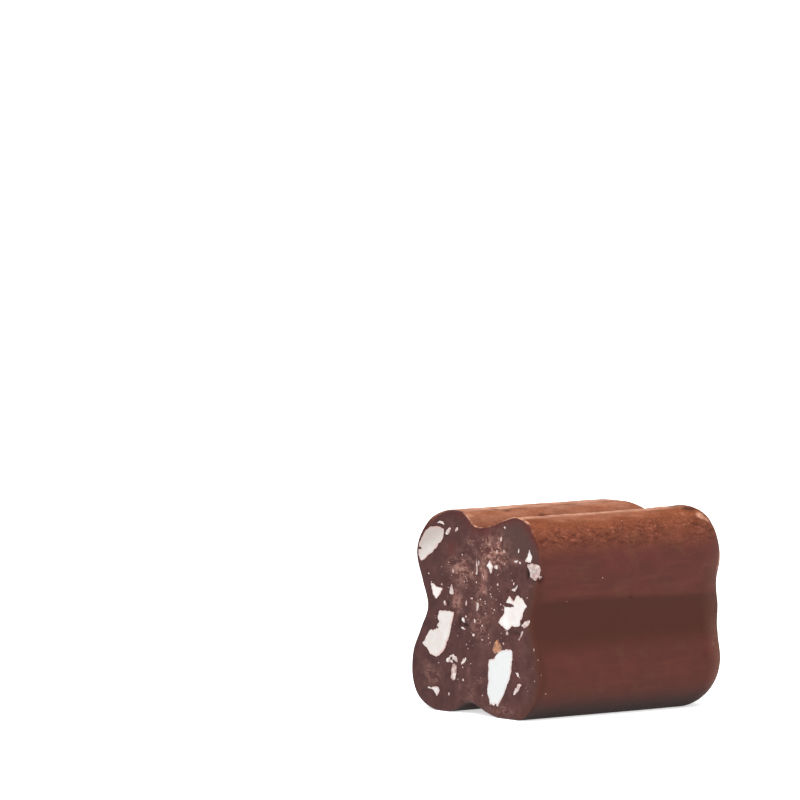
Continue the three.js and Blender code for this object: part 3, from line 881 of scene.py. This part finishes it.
# The four large pieces of hazelnut: node, depth, how much greyer and how much cooler than the rest, and
# outline on the cut face as [y, z].
LARGE_NUTS = [
    ("nut_far_top", 2.2, 1.0, 0.0, [
        (9.9, 17.9), (9.5, 18.75), (8.67, 19.67), (7.83, 20.25), (6.5, 20.25), (5.6, 20.1), (5.53, 19.6),
        (5.75, 19.0), (6.5, 18.25), (7.5, 17.4), (8.6, 16.8), (9.5, 16.3), (9.95, 16.8)]),
    ("nut_far_low", 2.6, 0.9, 0.0, [
        (6.2, 11.1), (6.6, 10.5), (6.5, 9.8), (6.9, 9.0), (8.1, 8.75), (8.6, 8.0), (9.2, 7.25), (8.0, 6.3),
        (7.4, 5.97), (6.8, 5.97), (6.0, 6.3), (5.1, 7.4), (4.7, 8.3), (4.3, 9.3), (4.0, 10.2), (3.8, 11.1)]),
    ("nut_near_mid", 2.2, 0.0, 0.0, [
        (-3.9, 10.6), (-4.9, 11.5), (-5.1, 12.3), (-5.3, 13.0), (-5.8, 13.5), (-6.5, 13.0), (-7.2, 13.7),
        (-8.0, 13.4), (-8.75, 12.6), (-8.1, 11.8), (-7.9, 10.8), (-7.3, 10.2), (-6.4, 10.25), (-5.5, 9.8),
        (-4.5, 10.1)]),
    ("nut_near_low", 2.8, 0.0, 1.0, [
        (-2.33, 6.37), (-3.25, 6.5), (-3.7, 7.0), (-4.3, 7.5), (-5.4, 7.65), (-6.2, 7.6), (-6.45, 7.3),
        (-6.25, 6.0), (-6.0, 4.8), (-5.4, 3.7), (-4.7, 2.5), (-3.75, 1.25), (-3.4, 1.6), (-3.1, 1.3),
        (-2.75, 1.55), (-2.45, 1.35), (-2.3, 2.1), (-1.93, 2.76), (-2.17, 3.8)]),
]

# Smaller pieces with a shape of their own: how stained with paste, and the outline.
SHAPED_BITS = [
    (0.0, [(7.9, 14.0), (6.7, 13.7), (5.75, 13.6), (6.17, 12.8), (6.9, 12.25), (7.5, 13.0)]),
    (0.2, [(-9.25, 18.75), (-9.7, 18.0), (-9.5, 17.3), (-8.5, 17.4), (-8.9, 18.0)]),
    (0.8, [(5.19, 5.44), (5.03, 5.85), (4.63, 6.03), (4.47, 6.29), (3.84, 6.39), (3.28, 6.18), (3.12, 5.85),
           (3.28, 5.54), (3.5, 5.85), (3.9, 6.05), (4.16, 5.85), (4.0, 5.45), (4.63, 5.43)]),
    (0.9, [(4.0, 5.38), (3.36, 5.33), (3.37, 4.33), (3.53, 3.72), (4.0, 3.48), (4.32, 3.85), (4.24, 4.66)]),
    (0.5, [(8.4, 2.45), (7.4, 2.6), (6.6, 2.7), (6.35, 2.2), (6.8, 1.6), (7.1, 1.9), (7.5, 2.3)]),
    (0.3, [(-2.0, 16.5), (-2.35, 16.9), (-2.5, 17.2), (-2.75, 16.8), (-3.1, 16.6), (-2.9, 16.1),
           (-2.6, 15.65), (-2.4, 16.1)]),
    (0.9, [(5.25, 19.55), (5.1, 19.9), (4.6, 20.4), (4.3, 20.2), (4.6, 19.6), (5.0, 19.45)]),
    (0.3, [(6.75, 20.7), (6.3, 20.9), (5.7, 20.85), (5.5, 20.55), (6.1, 20.65)]),
    (0.6, [(4.2, 14.15), (4.0, 13.6), (3.75, 13.05), (4.2, 12.9), (4.65, 13.2), (4.4, 13.6)]),
    (0.7, [(-7.9, 10.4), (-8.4, 10.9), (-9.3, 11.25), (-9.4, 10.9), (-8.9, 10.4), (-8.3, 10.2)]),
    (0.7, [(-7.4, 8.7), (-7.9, 9.3), (-8.2, 9.85), (-8.0, 9.8), (-7.6, 9.2)]),
    (0.6, [(-6.25, 14.2), (-6.9, 14.5), (-7.3, 14.85), (-7.1, 14.4), (-6.8, 14.1)]),
    (0.5, [(-6.8, 5.35), (-7.2, 5.3), (-7.7, 4.65), (-7.3, 4.85), (-6.9, 5.1)]),
    (0.6, [(-6.5, 2.8), (-6.8, 3.5), (-7.4, 4.1), (-7.85, 4.0), (-7.3, 3.2), (-6.7, 2.75)]),
    (0.4, [(1.62, 6.21), (1.6, 5.9), (2.09, 5.5), (2.6, 5.3), (2.49, 5.65), (2.17, 6.05)]),
]

# The chunk that breaks the cut's near edge.
EDGE_CHUNK = [(-9.1, 17.1), (-9.8, 17.35), (-10.6, 17.3), (-11.1, 16.8), (-10.95, 16.3), (-10.4, 15.5),
              (-10.0, 15.7), (-9.45, 15.9), (-9.65, 16.3), (-9.35, 16.7)]

# Small bits of no special shape: [y, z, length, width, tilt in degrees from +Y].
SMALL_BITS = [
    (-3.55, 16.5, 0.6, 0.5, 0), (3.3, 20.15, 0.75, 0.4, -40), (5.35, 12.0, 0.7, 0.5, 70),
    (1.65, 12.2, 0.8, 0.3, 90), (-0.3, 11.95, 1.1, 0.4, 100), (2.15, 10.35, 0.7, 0.5, 60),
    (2.15, 9.4, 0.8, 0.3, 15), (0.2, 10.35, 0.6, 0.3, 80), (0.4, 8.8, 0.45, 0.35, 0),
    (-0.2, 16.2, 1.75, 0.27, 90), (-0.55, 16.75, 0.8, 0.14, 92), (-4.45, 19.6, 0.6, 0.25, 90),
    (-5.0, 20.9, 0.35, 0.25, 30), (-7.4, 18.5, 0.6, 0.2, 95), (-6.9, 17.3, 0.5, 0.3, 10),
    (-7.7, 17.2, 0.5, 0.25, 40), (-3.8, 14.6, 0.4, 0.3, 30), (4.7, 2.0, 0.45, 0.3, 80),
    (3.1, 3.75, 0.3, 0.2, 0), (2.2, 3.75, 0.3, 0.25, 40), (-0.8, 12.8, 0.3, 0.25, 0),
    (-2.7, 13.2, 0.25, 0.2, 30), (-1.6, 12.6, 0.2, 0.2, 0), (-1.3, 15.3, 0.3, 0.2, 60),
    (-4.9, 18.3, 0.5, 0.2, 85), (-1.1, 9.9, 0.2, 0.2, 0), (-6.6, 14.9, 0.4, 0.2, 100),
    (5.9, 15.9, 0.3, 0.25, 0), (3.9, 15.5, 0.35, 0.3, 50), (8.2, 15.0, 0.3, 0.25, 0),
    (-1.7, 11.3, 0.2, 0.15, 0), (-5.4, 9.4, 0.5, 0.4, 80), (-4.3, 19.5, 0.6, 0.16, 85),
    (-3.7, 18.1, 0.5, 0.14, 80), (-10.8, 16.0, 0.35, 0.3, 40), (-7.1, 17.4, 0.5, 0.2, 0),
]


def small_outline(row, rng):
    """An uneven outline of seven points for a small bit."""
    y, z, length, width, tilt = row
    turn = math.radians(tilt)
    points = []
    for i in range(7):
        angle = 2 * math.pi * (i + rng.uniform(-0.25, 0.25)) / 7
        reach = rng.uniform(0.8, 1.1)
        along, aside = math.cos(angle) * length / 2 * reach, math.sin(angle) * width / 2 * reach
        points.append((y + along * math.cos(turn) - aside * math.sin(turn),
                       z + along * math.sin(turn) + aside * math.cos(turn)))
    return points


def nut_bits():
    """All the smaller pieces of nut in the cut face."""
    rng = random.Random(11)
    stained = [share for share, outline in SHAPED_BITS] + [rng.uniform(0.1, 0.9) for row in SMALL_BITS]
    chips = [chip(outline, 0.6, 0.05, 20 + i, 0.1, spacing=0.09, chamfer=0.05, stained=stained[i])
             for i, (share, outline) in enumerate(SHAPED_BITS)]
    chips += [chip(small_outline(row, rng), 0.35, 0.04, 60 + i, 0.06, spacing=0.08, chamfer=0.04,
                   stained=stained[len(SHAPED_BITS) + i]) for i, row in enumerate(SMALL_BITS)]
    return chips_object("nut_bits", chips, NUT, stained=stained)


def edge_chunk():
    """The chunk of nut that breaks the cut's near edge: broken, not cut, so bumpy and stained in patches."""
    points, faces, edge = chip(EDGE_CHUNK, 1.3, 0.3, 50, 0.12, chamfer=0.2, bumpy=0.25)
    stained = 0.3 + 0.7 * smooth(noise_at(points, 0.6, 33, 2), -0.3, 0.4)
    edge = np.maximum(edge * 0.8, stained)
    return chips_object("nut_edge_chunk", [(points, faces, edge)], NUT, grey=1.4, stained=0.6)


# Smears and crumbs of paste that lie on the nut pieces.
PASTE_SMEARS = [
    [(-5.1, 12.75), (-5.9, 12.8), (-6.6, 12.65), (-6.75, 12.4), (-6.0, 12.3), (-5.2, 12.25)],
    [(9.95, 17.85), (9.6, 17.85), (9.3, 17.7), (9.6, 17.6), (9.95, 17.6)],
    [(6.7, 10.1), (6.35, 10.0), (6.25, 9.8), (6.5, 9.65), (6.75, 9.7)],
    [(6.75, 9.3), (6.45, 9.3), (6.4, 9.1), (6.7, 9.05)],
    [(-7.7, 11.0), (-8.0, 11.1), (-8.1, 10.8), (-7.8, 10.6)],
    [(4.35, 6.1), (4.1, 6.15), (4.0, 5.85), (4.3, 5.75)],
]
NUT_SKIN_OUTLINE = [(-2.9, 7.4), (-3.1, 8.0), (-3.6, 8.6), (-4.1, 8.3), (-4.75, 7.7), (-4.3, 7.45),
                    (-3.8, 7.1), (-3.3, 7.0)]


def paste_smears():
    """The smears on the nut pieces: thin flakes of paste that stand a little prouder than the nuts."""
    flakes = [chip(outline, 0.2, 0.11, 120 + i, 0.06, spacing=0.08, chamfer=0.03)
              for i, outline in enumerate(PASTE_SMEARS)]
    return chips_object("paste_smears", flakes, CUT)


# Specks of nut pressed into the side: [x, y, z, length along the bar, height].
SIDE_SPECKS = [
    (-0.9, -9.3, 21.15, 0.14, 0.12),
    (-4.8, -10.7, 15.3, 0.12, 0.12),
    (-9.2, -10.0, 12.9, 0.12, 0.1),
    (-13.85, -10.0, 8.0, 0.1, 0.35),
    (-13.72, -10.57, 6.85, 0.06, 0.08),
    (-13.85, -9.75, 5.9, 0.07, 0.09),
    (-13.65, -10.98, 5.2, 0.06, 0.1),
    (-13.85, -10.1, 4.55, 0.12, 0.12),
    (-12.9, -10.75, 3.2, 0.25, 0.06),
    (-13.85, -8.6, 3.7, 0.1, 0.12),
    (-13.85, -9.1, 3.4, 0.12, 0.08),
]


def side_specks(ground):
    """The specks, each set in the nearest point of the skin and standing a little proud of it."""
    skin = np.array([point.co for point in ground.data.vertices]) / MM
    shape = bmesh.new()
    for x, y, z, length, height in SIDE_SPECKS:
        nearest = skin[np.argmin(np.linalg.norm(skin - (x, y, z), axis=1))]
        size = Matrix.Diagonal((length / 2 * MM, 0.05 * MM, height / 2 * MM, 1))
        bmesh.ops.create_icosphere(shape, subdivisions=2, radius=1,
                                   matrix=Matrix.Translation(Vector(nearest) * MM) @ size)
    mesh = bpy.data.meshes.new("side_specks")
    shape.to_mesh(mesh)
    shape.free()
    mesh.materials.append(FLECK)
    thing = bpy.data.objects.new("side_specks", mesh)
    bpy.context.scene.collection.objects.link(thing)
    return thing


# Scatter

def scatter(name, ground, material, density, smallest, largest, where, seed, flat=0.6):
    """Small uneven grains over a mesh, by its stored share `where`.

    density is for each square millimetre, and smallest and largest are the grains' sizes in millimetres.
    """
    tree = bpy.data.node_groups.new(name + "_scatter", "GeometryNodeTree")
    face = tree.interface
    face.new_socket("Geometry", in_out="INPUT", socket_type="NodeSocketGeometry")
    for label in ("Density", "Smallest", "Largest"):
        face.new_socket(label, in_out="INPUT", socket_type="NodeSocketFloat")
    face.new_socket("Geometry", in_out="OUTPUT", socket_type="NodeSocketGeometry")
    given = add(tree, "NodeGroupInput")
    stored = add(tree, "GeometryNodeInputNamedAttribute", {"Name": where}, data_type="FLOAT")
    dense = add(tree, "ShaderNodeMath", {
        0: given.outputs["Density"], 1: stored.outputs["Attribute"],
    }, operation="MULTIPLY").outputs[0]
    spots = add(tree, "GeometryNodeDistributePointsOnFaces", {
        "Mesh": given.outputs["Geometry"], "Density": dense, "Seed": seed,
    }, distribute_method="RANDOM")
    grain = add(tree, "GeometryNodeMeshIcoSphere", {"Radius": 0.5, "Subdivisions": 1}).outputs["Mesh"]
    turn = add(tree, "FunctionNodeRandomValue", {
        0: (0, 0, 0), 1: (math.tau, math.tau, math.tau), "Seed": seed + 1,
    }, data_type="FLOAT_VECTOR").outputs[0]
    draw = add(tree, "FunctionNodeRandomValue", {
        2: 0.0, 3: 1.0, "Seed": seed + 2,
    }, data_type="FLOAT").outputs[1]
    rarely = add(tree, "ShaderNodeMath", {0: draw, 1: 2.4}, operation="POWER").outputs[0]
    size = add(tree, "ShaderNodeMapRange", {
        "Value": rarely, "To Min": given.outputs["Smallest"], "To Max": given.outputs["Largest"],
    }).outputs["Result"]
    shape = add(tree, "FunctionNodeRandomValue", {
        0: (flat, flat, flat), 1: (1.3, 1.0, 1.0), "Seed": seed + 3,
    }, data_type="FLOAT_VECTOR").outputs[0]
    scale = add(tree, "ShaderNodeVectorMath", {0: shape, "Scale": size}, operation="SCALE").outputs[0]
    grains = add(tree, "GeometryNodeInstanceOnPoints", {
        "Points": spots.outputs["Points"], "Instance": grain, "Rotation": turn, "Scale": scale,
    }).outputs["Instances"]
    real = add(tree, "GeometryNodeRealizeInstances", {"Geometry": grains}).outputs["Geometry"]
    done = add(tree, "GeometryNodeSetMaterial", {"Geometry": real, "Material": material}).outputs["Geometry"]
    add(tree, "NodeGroupOutput", {"Geometry": done})

    carrier = ground.copy()
    bpy.context.scene.collection.objects.link(carrier)
    modifier = carrier.modifiers.new(name, "NODES")
    modifier.node_group = tree
    sizes = {"Density": density / MM ** 2, "Smallest": smallest * MM, "Largest": largest * MM}
    for item in face.items_tree:
        if item.in_out == "INPUT" and item.name in sizes:
            modifier[item.identifier] = sizes[item.name]
    graph = bpy.context.evaluated_depsgraph_get()
    mesh = bpy.data.meshes.new_from_object(carrier.evaluated_get(graph))
    bpy.data.objects.remove(carrier)
    mesh.name = name
    thing = bpy.data.objects.new(name, mesh)
    bpy.context.scene.collection.objects.link(thing)
    return thing


# The set

def aim(thing, eye, target):
    """Places a lamp at `eye` and turns it towards a target."""
    turned = (Vector(target) - Vector(eye)).to_track_quat("-Z", "Y")
    thing.matrix_world = Matrix.Translation(eye) @ turned.to_matrix().to_4x4()


def studio():
    """A white floor, a large soft light from above and in front, and a weak fill from all round."""
    half = 9000
    corners = [(-half, -half, 0), (half, -half, 0), (half, half, 0), (-half, half, 0)]
    floor = mesh_object("floor", corners, [(0, 1, 2, 3)], [floor_material()])
    world = bpy.data.worlds.new("studio")
    world.use_nodes = True
    background = world.node_tree.nodes["Background"]
    background.inputs["Color"].default_value = colour("#ffffff")
    background.inputs["Strength"].default_value = 0.38
    bpy.context.scene.world = world
    lamp = bpy.data.lights.new("key", "SUN")
    lamp.energy = 4.9
    lamp.angle = math.radians(80)
    key = bpy.data.objects.new("key", lamp)
    bpy.context.scene.collection.objects.link(key)
    tilt, azimuth = math.radians(38), math.radians(-42)
    aside = math.sin(tilt)
    from_above = Vector((math.sin(azimuth) * aside, -math.cos(azimuth) * aside, math.cos(tilt)))
    aim(key, from_above, (0, 0, 0))
    bpy.context.scene.view_settings.view_transform = "Standard"
    bpy.context.scene.view_settings.look = "None"


# The photograph's size, and where the camera's target lies in it, in pixels from its top left corner.
FRAME_PIXELS = 800
TARGET_ACROSS = 572
TARGET_DOWN = 607.5


def photo_camera():
    """The camera where the photograph's was, with the truffle in the same place in the frame."""
    azimuth, elevation = math.radians(-39.5), math.radians(5.4)
    distance = 990 * MM
    pixel = 0.11 * MM
    target = Vector((-0.1, 0.193, 11.0)) * MM
    across = TARGET_ACROSS - FRAME_PIXELS / 2
    down = TARGET_DOWN - FRAME_PIXELS / 2
    level = math.cos(elevation)
    back = Vector((math.sin(azimuth) * level, -math.cos(azimuth) * level, math.sin(elevation)))
    lens = bpy.data.cameras.new("photo_camera")
    lens.sensor_width = 36
    lens.lens = lens.sensor_width * distance / (FRAME_PIXELS * pixel)
    lens.clip_end = 20
    camera = bpy.data.objects.new("photo_camera", lens)
    bpy.context.scene.collection.objects.link(camera)
    seen = Vector((across * pixel, -down * pixel, -distance)).normalized()
    turned = (-back).to_track_quat("-Z", "Y") @ seen.rotation_difference(Vector((0, 0, -1)))
    camera.matrix_world = Matrix.Translation(target + back * distance) @ turned.to_matrix().to_4x4()
    bpy.context.scene.camera = camera


# Assembly

photo_camera()
studio()

bar = truffle_bar()
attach(bar, "root")
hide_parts("truffle_paste")

for number, (node, depth, grey, cool, outline) in enumerate(LARGE_NUTS):
    nut = chips_object(node + "_cut", [chip(outline, depth, 0.08, number, 0.09)], NUT, grey, cool)
    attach(nut, "root")
    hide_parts(node)

bits = nut_bits()
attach(bits, "root")

chunk = edge_chunk()
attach(chunk, "root")

scrap = chips_object("nut_skin_scrap", [chip(NUT_SKIN_OUTLINE, 0.5, 0.04, 90, 0.04, spacing=0.1)], NUT_SKIN)
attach(scrap, "root")

smears = paste_smears()
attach(smears, "root")

specks = side_specks(bar)
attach(specks, "root")

flecks = scatter("nut_flecks", bar, FLECK, 2.6, 0.05, 0.3, "flecks", 5, 0.3)
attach(flecks, "root")

grains = scatter("cocoa_grains", bar, COCOA, 10.0, 0.08, 0.26, "pitted", 9)
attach(grains, "root")
